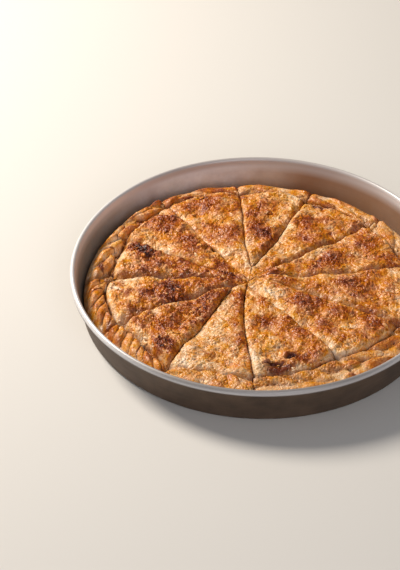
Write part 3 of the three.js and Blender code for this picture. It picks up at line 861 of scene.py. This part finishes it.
def makeWedge(index):
    # one wedge as a closed solid with a finely worked top
    plane, topRows, backs, back, s, places = layTop(index)
    z, brown, paintedShade, flaky = wedgeTop(*plane.T, s, *places)
    top = np.column_stack([plane, np.where(back < 1e-6, edge["sideZ"], z)])
    points, browns, paintedShades = [top], [brown], [paintedShade]

    # new points, each with a tone and a depth of painted shade
    def add(more, tone, dark):
        first = sum(len(part) for part in points)
        points.append(more)
        browns.append(np.full(len(more), tone))
        paintedShades.append(np.broadcast_to(dark, len(more)))
        return list(range(first, first + len(more)))

    # the outside, from where it is widest down into the bend of the tray, with painted shade that
    # deepens towards the bottom
    rows = list(topRows)
    outline = top[rows[-1]]
    outlineS = s[rows[-1]]
    r = np.hypot(outline[:, 0], outline[:, 1])
    deep, wide = edge["sideWrinkles"]
    for k in range(1, edge["sideSteps"] + 1):
        way = k / edge["sideSteps"]
        wrinkle = deep * noise(outlineS, outlineS * 0 + 5 * k, wide, 81) * np.sin(np.pi * way)
        scale = (r - edge["sideInset"] * way ** 2.2 + wrinkle) / r
        level = np.full(len(r), mixed(edge["sideZ"], pie["floor"], way))
        row = np.column_stack([outline[:, :2] * scale[:, None], level])
        rows.append(add(row, edge["doughTone"], 0.15 + 0.4 * way))

    # the two cut faces, straight down from the top's edge, with painted shade that deepens downwards
    footed = [k for k, b in enumerate(backs) if b > pie["heel"]]
    levels = pie["wallLevels"]
    faces = []
    for corner in (0, -1):
        stacks = []
        for k in footed:
            x, y, high = top[rows[k][corner]]
            zs = mixed(high, pie["floor"], np.arange(1, levels + 1) / levels)
            stack = np.column_stack([np.full(levels, x), np.full(levels, y), zs])
            below = add(stack, pie["cutTone"], np.linspace(0.2, 0.7, levels))
            stacks.append([rows[k][corner]] + below)
        faces.append(stacks)

    first, second = faces
    outerRows = rows[footed[-1] + 1:]
    feet = [[stack[-1] for stack in face] for face in faces]
    triangles = quilt(rows)
    for a, b in zip(first, first[1:]):
        triangles += strip(b, a)
    triangles += quilt(second)
    triangles += strip([row[0] for row in outerRows], first[-1])
    triangles += strip(second[-1], [row[-1] for row in outerRows])
    triangles += strip(first[0], second[0])
    triangles += strip(*feet)
    triangles += strip(rows[-1], [feet[0][-1], feet[1][-1]])
    attributes = {"browning": np.concatenate(browns), "paintedShade": np.concatenate(paintedShades)}
    baked = makeMesh(f"wedge_{index + 1:02d}_baked", np.concatenate(points) * mm, triangles, attributes)
    return baked, (top, quilt(topRows), brown, flaky)


def joinTops(tops):
    # the baked surface of all wedges as one ground for what lies on it
    points, triangles, brown, flaky = zip(*tops)
    firsts = np.cumsum([0] + [len(part) for part in points])
    triangles = [np.array(part) + first for part, first in zip(triangles, firsts)]
    return makeMesh("ground", np.concatenate(points) * mm, np.concatenate(triangles),
                    {"browning": np.concatenate(brown), "flaky": np.concatenate(flaky)})


def makeScrap(name, sides, rings, wide, thickness, curl, seed):
    # one scrap of a leaf of dough, 1 mm across and thin at its torn rim
    turns = np.arange(sides) * 2 * np.pi / sides
    odd = 0.7 + 0.6 * chance(np.arange(sides), np.arange(sides) * 0, seed)
    rim = 0.5 * np.column_stack([odd * np.cos(turns), odd * np.sin(turns)])
    points, triangles = [], []
    for side in (1, -1):
        points.append([[0, 0, side * thickness / 2]])
        for k in range(1, rings):
            way = k / rings
            swell = side * thickness / 2 * np.sqrt(1 - way ** 2)
            points.append(np.column_stack([way * rim, np.full(sides, swell)]))
    points.append(np.column_stack([rim, np.zeros(sides)]))
    points = np.concatenate(points) * [1, wide, 1]
    lean = chance(np.array(seed), np.array(1), 5) * np.pi
    across = points[:, 0] * np.cos(lean) + points[:, 1] * np.sin(lean)
    points[:, 2] += curl * (across ** 2 - 0.1) + 0.15 * across * points[:, 1]
    half = 1 + (rings - 1) * sides
    for side in range(2):
        starts = [side * half + 1 + k * sides for k in range(rings - 1)] + [2 * half]
        for i in range(sides):
            j = (i + 1) % sides
            faces = [(side * half, starts[0] + i, starts[0] + j)]
            for low, high in zip(starts, starts[1:]):
                faces += [(low + i, high + i, high + j), (low + i, high + j, low + j)]
            triangles += faces if side == 0 else [face[::-1] for face in faces]
    return makeMesh(name, points * mm, triangles)


def scatterTree(name, scraps, inputs, material):
    # scraps strewn over a ground: more of them where it is flaky, and each about as brown as the
    # crust under it
    tree = bpy.data.node_groups.new(name, "GeometryNodeTree")
    tree.interface.new_socket("Geometry", in_out="INPUT", socket_type="NodeSocketGeometry")
    for label, value in inputs.items():
        kind = "NodeSocketInt" if isinstance(value, int) else "NodeSocketFloat"
        tree.interface.new_socket(label, in_out="INPUT", socket_type=kind)
    tree.interface.new_socket("Geometry", in_out="OUTPUT", socket_type="NodeSocketGeometry")
    given = addNode(tree, "NodeGroupInput").outputs
    flaky, browning = [
        addNode(tree, "GeometryNodeInputNamedAttribute", {"Name": key}, data_type="FLOAT").outputs[0]
        for key in ("flaky", "browning")]
    dense = addNode(tree, "ShaderNodeMath", {0: flaky, 1: given["Density"]}, operation="MULTIPLY")
    spread = addNode(tree, "GeometryNodeDistributePointsOnFaces",
                     {"Mesh": given["Geometry"], "Density": dense.outputs[0], "Seed": given["Seed"]})
    odd = addNode(tree, "FunctionNodeRandomValue",
                  {2: given["Palest"], 3: given["Darkest"], "Seed": 3}, data_type="FLOAT")
    shade = addNode(tree, "ShaderNodeMath", {0: browning, 1: odd.outputs[1]}, operation="ADD")
    points = addNode(tree, "GeometryNodeStoreNamedAttribute",
                     {"Geometry": spread.outputs["Points"], "Name": "browning",
                      "Value": shade.outputs[0]}, data_type="FLOAT", domain="POINT")
    shapes = addNode(tree, "GeometryNodeJoinGeometry")
    for scrap in scraps:
        shape = addNode(tree, "GeometryNodeObjectInfo", {"Object": scrap, "As Instance": True})
        tree.links.new(shape.outputs["Geometry"], shapes.inputs[0])
    pick = addNode(tree, "FunctionNodeRandomValue", {4: 0, 5: len(scraps) - 1, "Seed": 4},
                   data_type="INT")
    size = addNode(tree, "FunctionNodeRandomValue",
                   {2: given["Smallest"], 3: given["Largest"], "Seed": 5}, data_type="FLOAT")
    tilt = addNode(tree, "ShaderNodeCombineXYZ", {0: given["Tilt"], 1: given["Tilt"], 2: math.pi})
    back = addNode(tree, "ShaderNodeVectorMath", {0: tilt.outputs[0], 1: (-1.0, -1.0, -1.0)},
                   operation="MULTIPLY")
    turn = addNode(tree, "FunctionNodeRandomValue",
                   {0: back.outputs[0], 1: tilt.outputs[0], "Seed": 6}, data_type="FLOAT_VECTOR")
    turned = addNode(tree, "FunctionNodeRotateRotation",
                     {0: spread.outputs["Rotation"], 1: turn.outputs[0]}, rotation_space="LOCAL")
    copies = addNode(tree, "GeometryNodeInstanceOnPoints",
                     {"Points": points.outputs[0], "Instance": shapes.outputs[0],
                      "Pick Instance": True, "Instance Index": pick.outputs[2],
                      "Rotation": turned.outputs[0], "Scale": size.outputs[1]})
    real = addNode(tree, "GeometryNodeRealizeInstances", {"Geometry": copies.outputs[0]})
    painted = addNode(tree, "GeometryNodeSetMaterial",
                      {"Geometry": real.outputs[0], "Material": material})
    addNode(tree, "NodeGroupOutput", {0: painted.outputs[0]})
    return tree


def scatter(name, ground, scraps, inputs, material):
    # one kind of loose scrap as a plain mesh, all its scraps in one
    holder = bpy.data.objects.new(f"{name}_holder", ground.data)
    bpy.context.scene.collection.objects.link(holder)
    modifier = holder.modifiers.new("scatter", "NODES")
    modifier.node_group = scatterTree(name, scraps, inputs, material)
    for item in modifier.node_group.interface.items_tree:
        if item.in_out == "INPUT" and item.name in inputs:
            modifier[item.identifier] = inputs[item.name]
    evaluated = holder.evaluated_get(bpy.context.evaluated_depsgraph_get())
    mesh = bpy.data.meshes.new_from_object(evaluated)
    bpy.data.objects.remove(holder)
    mesh.name = name
    piece = bpy.data.objects.new(name, mesh)
    bpy.context.scene.collection.objects.link(piece)
    print(name, "made,", len(mesh.polygons), "faces")
    return piece


crustLook = {
    "noises": {  # width, detail, roughness and distortion
        "specks": (2.2, 3.0, 0.6, 1.2),  # the crust browns in specks of this size
        "butter": (0.7, 2.0, 0.5, 0.0),
        "rich": (9, 4.0, 0.5, 0.0),  # paler and richer patches
        "crinkles": (2.4, 0.5, 0.5, 1.5),
    },
    "speckStrength": 0.7,
    "richness": ("rich", 0.74, 1.26),  # the noise that it goes by, its least and its most
    "gloss": ("butter", 0.28, 0.6),
    "burntRichness": 1.02,
    "crinkleDepth": 0.8,
    "paintedShade": "#80502a",  # painted shade: what the crust's colour is multiplied by in a hollow
    "bake": [(0.0, "#efd2ac"), (0.16, "#e5b680"), (0.32, "#d9964a"), (0.46, "#c5762e"),
             (0.60, "#a6551c"), (0.76, "#80340c"), (0.90, "#581e06"), (1.0, "#3a1003")],
}


def startMaterial(name):
    material = bpy.data.materials.new(name)
    material.use_nodes = True
    material.node_tree.nodes.clear()
    return material, material.node_tree


def bakedFilo():
    # filo pastry brushed with butter and baked: a matt, slightly translucent crust that browns in
    # specks and is glossy only where the butter stays
    material, tree = startMaterial("baked_filo")
    place = addNode(tree, "ShaderNodeTexCoord").outputs["Object"]
    browning = addNode(tree, "ShaderNodeAttribute", attribute_name="browning").outputs["Fac"]
    paintedShade = addNode(tree, "ShaderNodeAttribute", attribute_name="paintedShade").outputs["Fac"]
    noises = {}
    for kind, (width, detail, rough, bent) in crustLook["noises"].items():
        noises[kind] = addNode(tree, "ShaderNodeTexNoise", {
            "Vector": place, "Scale": 1 / (width * mm), "Detail": detail,
            "Roughness": rough, "Distortion": bent}).outputs["Fac"]
    shifted = addNode(tree, "ShaderNodeMath", {0: noises["specks"], 1: 0.5}, operation="SUBTRACT")
    shade = addNode(tree, "ShaderNodeMath",
                    {0: shifted.outputs[0], 1: crustLook["speckStrength"], 2: browning},
                    operation="MULTIPLY_ADD")
    ramp = addNode(tree, "ShaderNodeValToRGB", {"Fac": shade.outputs[0]})
    elements = ramp.color_ramp.elements
    while len(elements) < len(crustLook["bake"]):
        elements.new(0.5)
    for element, (position, code) in zip(elements, crustLook["bake"]):
        element.position = position
        element.color = linear(code)
    spread = {}
    for name in ("richness", "gloss"):
        kind, least, most = crustLook[name]
        spread[name] = addNode(tree, "ShaderNodeMapRange", {
            "Value": noises[kind], "From Min": 0.3, "From Max": 0.7,
            "To Min": least, "To Max": most}).outputs["Result"]
    strength = addNode(tree, "ShaderNodeMix", {"Factor": browning, 2: spread["richness"],
                                               3: crustLook["burntRichness"]})
    tinted = addNode(tree, "ShaderNodeHueSaturation",
                     {"Saturation": strength.outputs[0], "Color": ramp.outputs["Color"]})
    # painted shade: the crust's colour is multiplied by a dark brown where it lies in shade
    shadow = addNode(tree, "ShaderNodeMix",
                     {"Factor": paintedShade, 6: tinted.outputs["Color"], 7: linear(crustLook["paintedShade"])},
                     data_type="RGBA", blend_type="MULTIPLY")
    bumps = addNode(tree, "ShaderNodeBump", {"Height": noises["crinkles"], "Strength": 0.6,
                                             "Distance": crustLook["crinkleDepth"] * mm})
    shader = addNode(tree, "ShaderNodeBsdfPrincipled", {
        "Base Color": shadow.outputs[2], "Roughness": spread["gloss"],
        "Normal": bumps.outputs["Normal"], "IOR": 1.46, "Specular IOR Level": 0.35,
        "Coat Weight": 0.25, "Coat Roughness": 0.25,
        "Subsurface Weight": 0.08, "Subsurface Scale": 1.0,
        "Subsurface Radius": (2 * mm, 1 * mm, 0.5 * mm)})
    addNode(tree, "ShaderNodeOutputMaterial", {"Surface": shader.outputs[0]})
    return material


trayLook = {
    # Where each part of the finish lies: what it goes by, between which two values of that, and how
    # strong it is at each. "along" is the way along the section from the middle of the underside,
    # and X and Y are in metres.
    "ranges": {
        "film": ("clouds", 0.35, 0.75, 0, 1),
        "inside": ("along", 187, 189, 0, 1),
        # the bead's colour starts above its outer, lower side, which keeps the outside's darker colour
        # as painted shade
        "upBead": ("along", 187.5, 191.5, 0, 1),
        "downBead": ("along", 200.5, 204.5, 1, 0),
        # painted reflection: a pale blue-grey band along the top of the inner wall, also made less
        # metallic so that the crust isn't mirrored in it
        "paintedReflection": ("along", 200, 211, 0.8, 0),
        # the right inner wall turns browner: partly a stain of baked fat, partly painted shade and a
        # painted warm reflection of the crust
        "stainShadeAndReflection": ("X", -0.03, 0.05, 0, 0.85),
        "shaded": ("X", -0.18, -0.10, 0.85, 0),
        # painted shade: the bead is greyer towards the back
        "backBeadShade": ("Y", 0.10, 0.165, 0, 1),
        # painted shade: the bead is greyer towards the front
        "frontBeadShade": ("Y", -0.17, -0.11, 1, 0),
        "satin": ("rings", 0.3, 0.7, 0.48, 0.64),
    },
    # The colour of each part, and what lies over it, one over the other.
    "colours": {
        # the outside's dark brown is partly a film of baked fat and partly painted shade
        "outside": ("#5c4838", {"film": "#3f3125"}),
        "inside": ("#eae8e7", {"film": "#c9c1bc", "stainShadeAndReflection": "#9a6f43", "shaded": "#a89c8c",
                               "paintedReflection": "#d3d3d6"}),
        "bead": ("#e4e1e0", {"backBeadShade": "#bdb6b3", "frontBeadShade": "#9d9794"}),
    },
    "clouds": 28,  # width of the clouds in the brown film
    "ringDepth": 0.08,
    "metallic": (0.55, 0.75, 0.1),  # through the film, on the bead, and in the band of painted reflection just inside it
    "beadRoughness": 0.4,
}


def spunAluminium():
    # spun aluminium sheet, washed for years: satin, with fine rings, a brown film of baked fat that
    # hides some of the metal, and a bare rim rubbed bright. Painted shade greys the rim at the back and
    # at the front, darkens the left inner wall, the bead's lower side and in part the outside, and in
    # part browns the right inner wall, with a stain and a painted warm reflection; a painted pale
    # reflection lies along the top of the inner wall
    material, tree = startMaterial("spun_aluminium")
    place = addNode(tree, "ShaderNodeTexCoord").outputs["Object"]
    flat = addNode(tree, "ShaderNodeVectorMath", {0: place, 1: (1.0, 1.0, 0.0)}, operation="MULTIPLY")
    outward = addNode(tree, "ShaderNodeVectorMath", {0: flat.outputs[0]}, operation="NORMALIZE")
    along = addNode(tree, "ShaderNodeAttribute", attribute_name="along").outputs["Fac"]
    level = addNode(tree, "ShaderNodeCombineXYZ", {"Z": along})
    wound = addNode(tree, "ShaderNodeVectorMath",
                    {0: outward.outputs[0], 1: (3.0, 3.0, 0.0), 2: level.outputs[0]},
                    operation="MULTIPLY_ADD")
    rings = addNode(tree, "ShaderNodeTexNoise", {"Vector": wound.outputs[0], "Scale": 1.3,
                                                 "Detail": 3.0}).outputs["Fac"]
    clouds = addNode(tree, "ShaderNodeTexNoise",
                     {"Vector": place, "Scale": 1 / (trayLook["clouds"] * mm), "Detail": 4.0,
                      "Roughness": 0.6}).outputs["Fac"]
    sides = addNode(tree, "ShaderNodeSeparateXYZ", {"Vector": place}).outputs
    goesBy = {"clouds": clouds, "rings": rings, "along": along, "X": sides["X"], "Y": sides["Y"]}
    share = {}
    for name, (by, fromLow, fromHigh, toLow, toHigh) in trayLook["ranges"].items():
        share[name] = addNode(tree, "ShaderNodeMapRange", {
            "Value": goesBy[by], "From Min": fromLow, "From Max": fromHigh,
            "To Min": toLow, "To Max": toHigh}).outputs["Result"]
    share["bead"] = addNode(tree, "ShaderNodeMath", {0: share["upBead"], 1: share["downBead"]},
                            operation="MULTIPLY").outputs[0]
    parts = {}
    for part, (code, coats) in trayLook["colours"].items():
        parts[part] = linear(code)
        for name, coat in coats.items():
            parts[part] = addNode(tree, "ShaderNodeMix", {
                "Factor": share[name], 6: parts[part], 7: linear(coat)}, data_type="RGBA").outputs[2]
    colour = parts["outside"]
    for part in ("inside", "bead"):
        colour = addNode(tree, "ShaderNodeMix", {
            "Factor": share[part], 6: colour, 7: parts[part]}, data_type="RGBA").outputs[2]
    filmed, bare, reflectionMetallic = trayLook["metallic"]
    metallic = addNode(tree, "ShaderNodeMix", {"Factor": share["bead"], 2: filmed, 3: bare})
    metallic = addNode(tree, "ShaderNodeMix", {"Factor": share["paintedReflection"], 2: metallic.outputs[0],
                                               3: reflectionMetallic})
    roughness = addNode(tree, "ShaderNodeMix", {"Factor": share["bead"], 2: share["satin"],
                                                3: trayLook["beadRoughness"]})
    bumps = addNode(tree, "ShaderNodeBump", {"Height": rings, "Strength": 0.25,
                                             "Distance": trayLook["ringDepth"] * mm})
    shader = addNode(tree, "ShaderNodeBsdfPrincipled", {
        "Base Color": colour, "Metallic": metallic.outputs[0], "Roughness": roughness.outputs[0],
        "Normal": bumps.outputs["Normal"]})
    addNode(tree, "ShaderNodeOutputMaterial", {"Surface": shader.outputs[0]})
    return material


filo = bakedFilo()
aluminium = spunAluminium()
print("pastry and aluminium made")

traySpun = makeTray()
traySpun.data.materials.append(aluminium)
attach(traySpun, "root")
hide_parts("tray")
print("tray made")

tops = []
for index in range(len(wedges)):
    baked, top = makeWedge(index)
    tops.append(top)
    baked.data.materials.append(filo)
    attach(baked, "root")
    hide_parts(f"wedge_{index + 1:02d}")
print("wedges made")

ground = joinTops(tops)
# Thin scraps, each less curled than the one before until they curl the other way, and thick lumps.
curled = [makeScrap(f"scrap_{k}", sides=8, rings=2, wide=0.45, thickness=0.09, curl=1.0 - 0.3 * k,
                    seed=11 + k) for k in range(5)]
lumps = [makeScrap(f"lump_{k}", sides=5, rings=2, wide=0.8, thickness=0.8, curl=0.0, seed=31 + k)
         for k in range(4)]

# For each kind of loose scrap: how many lie on a square metre, how large they are, how far they are
# tilted, in radians, and how much paler or darker than the crust they are.
loose = {
    "filo_flakes": (curled, {"Density": 38000.0, "Smallest": 2.4, "Largest": 7.5, "Tilt": 0.45,
                             "Palest": -0.26, "Darkest": 0.08, "Seed": 5}),
    "filo_crumbs": (lumps, {"Density": 20000.0, "Smallest": 0.5, "Largest": 1.4, "Tilt": 3.0,
                            "Palest": -0.25, "Darkest": 0.15, "Seed": 8}),
    "torn_leaves": (curled, {"Density": 4000.0, "Smallest": 6.0, "Largest": 12.0, "Tilt": 0.35,
                             "Palest": -0.3, "Darkest": 0.05, "Seed": 12}),
}
for name, (scraps, inputs) in loose.items():
    piece = scatter(name, ground, scraps, inputs, filo)
    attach(piece, "root")
for helper in [ground] + curled + lumps:
    bpy.data.objects.remove(helper)

# The floor, the lights and the camera, in metres and watts.
studio = {
    "floorHalf": 6,
    "floorColour": "#d9d6d1",
    "lights": {
        "window": {"azimuth": 146, "elevation": 41, "away": 1.9, "size": 0.65, "power": 49,
                   "colour": "#fff6ea"},
        "room": {"azimuth": 285, "elevation": 26, "away": 2.4, "size": 1.6, "power": 18,
                 "colour": "#f2f2f8"},
    },
    "glowColour": "#f1f1f4",
    "glowFrom": (-0.35, -0.9, 0.25),  # the side from which the room's walls glow most
    "glow": (0.08, 0.30),  # its least and most
    "camera": (-0.05975, -1.4914, 1.2230),
    "lookDown": 38.88,
    "lens": 120,
}


def makeFloor():
    h = studio["floorHalf"]
    mesh = bpy.data.meshes.new("floor")
    mesh.from_pydata([(-h, -h, 0), (h, -h, 0), (h, h, 0), (-h, h, 0)], [], [(0, 1, 2, 3)])
    floor = bpy.data.objects.new("floor", mesh)
    bpy.context.scene.collection.objects.link(floor)
    material, tree = startMaterial("pale_backdrop")
    shader = addNode(tree, "ShaderNodeBsdfPrincipled",
                     {"Base Color": linear(studio["floorColour"]), "Roughness": 0.8})
    addNode(tree, "ShaderNodeOutputMaterial", {"Surface": shader.outputs[0]})
    mesh.materials.append(material)
    return floor


def addLight(name, azimuth, elevation, away, size, power, colour):
    # a round light that faces the middle of the tray
    light = bpy.data.lights.new(name, "AREA")
    light.shape = "DISK"
    light.size = size
    light.energy = power
    light.color = linear(colour)[:3]
    lamp = bpy.data.objects.new(name, light)
    bpy.context.scene.collection.objects.link(lamp)
    flat = away * math.cos(radians(elevation))
    lamp.location = (flat * math.cos(radians(azimuth)), flat * math.sin(radians(azimuth)),
                     away * math.sin(radians(elevation)))
    lamp.rotation_euler = (radians(90 - elevation), 0, radians(azimuth + 90))


def addGlow():
    world = bpy.data.worlds.new("studio")
    world.use_nodes = True
    tree = world.node_tree
    around = addNode(tree, "ShaderNodeTexCoord").outputs["Generated"]
    facing = addNode(tree, "ShaderNodeVectorMath", {0: around, 1: studio["glowFrom"]},
                     operation="DOT_PRODUCT")
    least, most = studio["glow"]
    glow = addNode(tree, "ShaderNodeMapRange", {
        "Value": facing.outputs["Value"], "From Min": -0.6, "From Max": 0.8,
        "To Min": least, "To Max": most})
    backdrop = tree.nodes["Background"]
    backdrop.inputs["Color"].default_value = linear(studio["glowColour"])
    tree.links.new(glow.outputs["Result"], backdrop.inputs["Strength"])
    bpy.context.scene.world = world


def addCamera():
    optics = bpy.data.cameras.new("camera")
    optics.sensor_width = 36
    optics.lens = studio["lens"]
    camera = bpy.data.objects.new("camera", optics)
    bpy.context.scene.collection.objects.link(camera)
    camera.location = studio["camera"]
    camera.rotation_euler = (radians(90 - studio["lookDown"]), 0, 0)
    bpy.context.scene.camera = camera


makeFloor()
for name, given in studio["lights"].items():
    addLight(name, **given)
addGlow()
addCamera()
bpy.context.scene.view_settings.view_transform = "Standard"
print("floor, lights and camera set")
